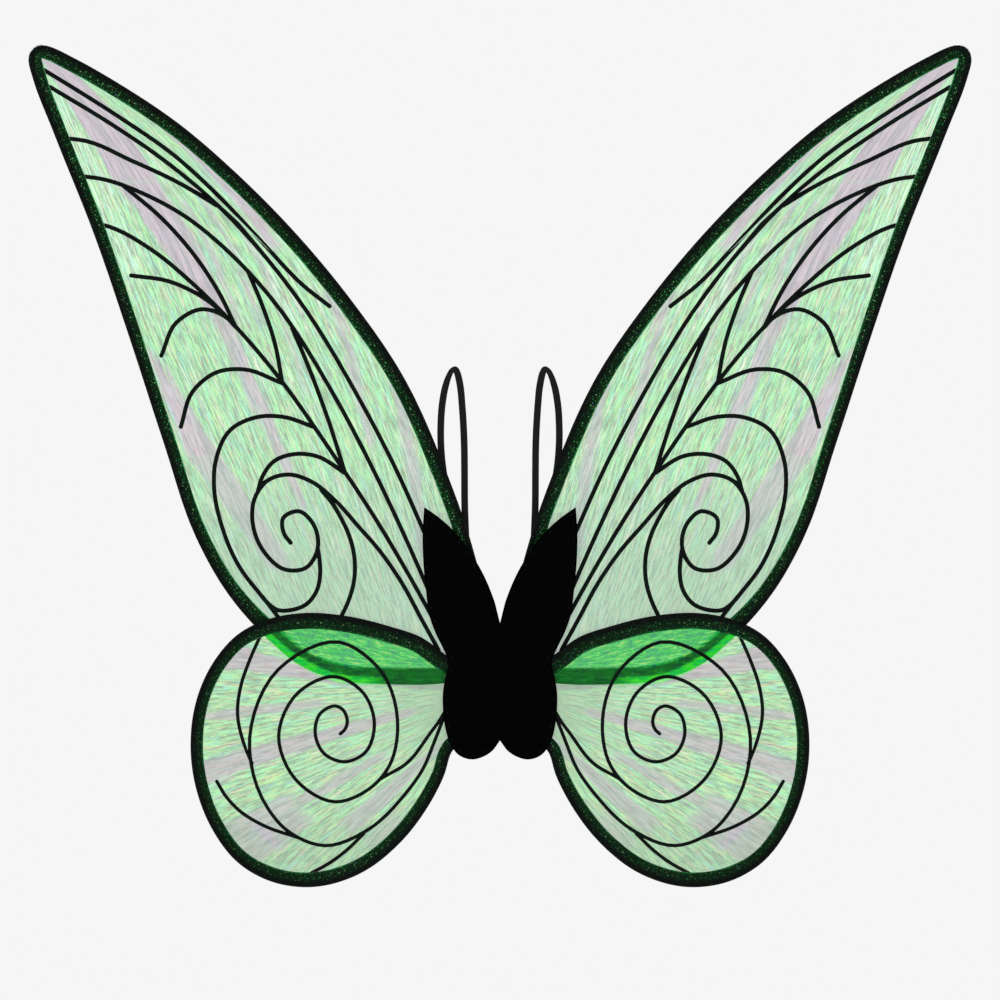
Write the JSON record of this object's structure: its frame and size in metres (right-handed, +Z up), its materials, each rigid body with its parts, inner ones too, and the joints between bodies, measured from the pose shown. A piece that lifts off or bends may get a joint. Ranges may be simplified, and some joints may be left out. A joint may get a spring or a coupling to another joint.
{
  "type": "fairy wings",
  "caption": "Costume fairy wings: wire-framed iridescent film wings with glitter ribbon borders and black veins on a felt centre patch, with elastic shoulder loops.",
  "frame": {"origin": "middle of the centre seam, on its back face, where the wings rest on the wearer's back", "axes": "+X along the span to the wearer's right wing as seen from behind, +Y toward the wearer, +Z up"},
  "size_m": [0.755, 0.0142, 0.6742],
  "materials": {
    "felt": "matte black felt",
    "board": "matte",
    "thread": "black sewing thread",
    "wire": "drawn steel wire",
    "sleeve": "crimped",
    "ribbon": "black ribbon with rows of green glitter",
    "film": "iridescent mint-green film",
    "vein_paint": "satin black raised paint",
    "elastic": "black braided elastic"
  },
  "bodies": {
    "seam": {"seam_front_tape": "felt", "seam_core": "felt", "seam_back_tape": "felt"},
    "left_half": {"left_front_cover": "felt", "left_back_cover": "felt", "left_root_board": "board", "left_cover_stitching": "thread", "left_upper_wire": "wire", "left_upper_sleeve": "sleeve", "left_upper_binding": "ribbon", "left_upper_film": "film", "left_upper_veins": "vein_paint", "left_lower_wire": "wire", "left_lower_sleeve": "sleeve", "left_lower_binding": "ribbon", "left_lower_film": "film", "left_lower_veins": "vein_paint", "left_strap_tails": "elastic", "left_strap_tacks": "thread"},
    "left_loop": {"left_shoulder_loop": "elastic"},
    "right_half": {"right_front_cover": "felt", "right_back_cover": "felt", "right_root_board": "board", "right_cover_stitching": "thread", "right_upper_wire": "wire", "right_upper_sleeve": "sleeve", "right_upper_binding": "ribbon", "right_upper_film": "film", "right_upper_veins": "vein_paint", "right_lower_wire": "wire", "right_lower_sleeve": "sleeve", "right_lower_binding": "ribbon", "right_lower_film": "film", "right_lower_veins": "vein_paint", "right_strap_tails": "elastic", "right_strap_tacks": "thread"},
    "right_loop": {"right_shoulder_loop": "elastic"}
  },
  "joints": [
    {"name": "left_fold", "type": "hinge", "parent": "seam", "child": "left_half", "pos_m": [-0.003, -0.0094, 0], "axis": [0, 0, 1], "range_deg": [-15, 85]},
    {"name": "right_fold", "type": "hinge", "parent": "seam", "child": "right_half", "pos_m": [0.003, -0.0094, 0], "axis": [0, 0, -1], "range_deg": [-15, 85]},
    {"name": "left_loop_swing", "type": "hinge", "parent": "left_half", "child": "left_loop", "pos_m": [-0.0303, 0.0016, 0.088], "axis": [-1, 0, 0], "range_deg": [0, 170]},
    {"name": "right_loop_swing", "type": "hinge", "parent": "right_half", "child": "right_loop", "pos_m": [0.0303, 0.0016, 0.088], "axis": [-1, 0, 0], "range_deg": [0, 170]}
  ]
}
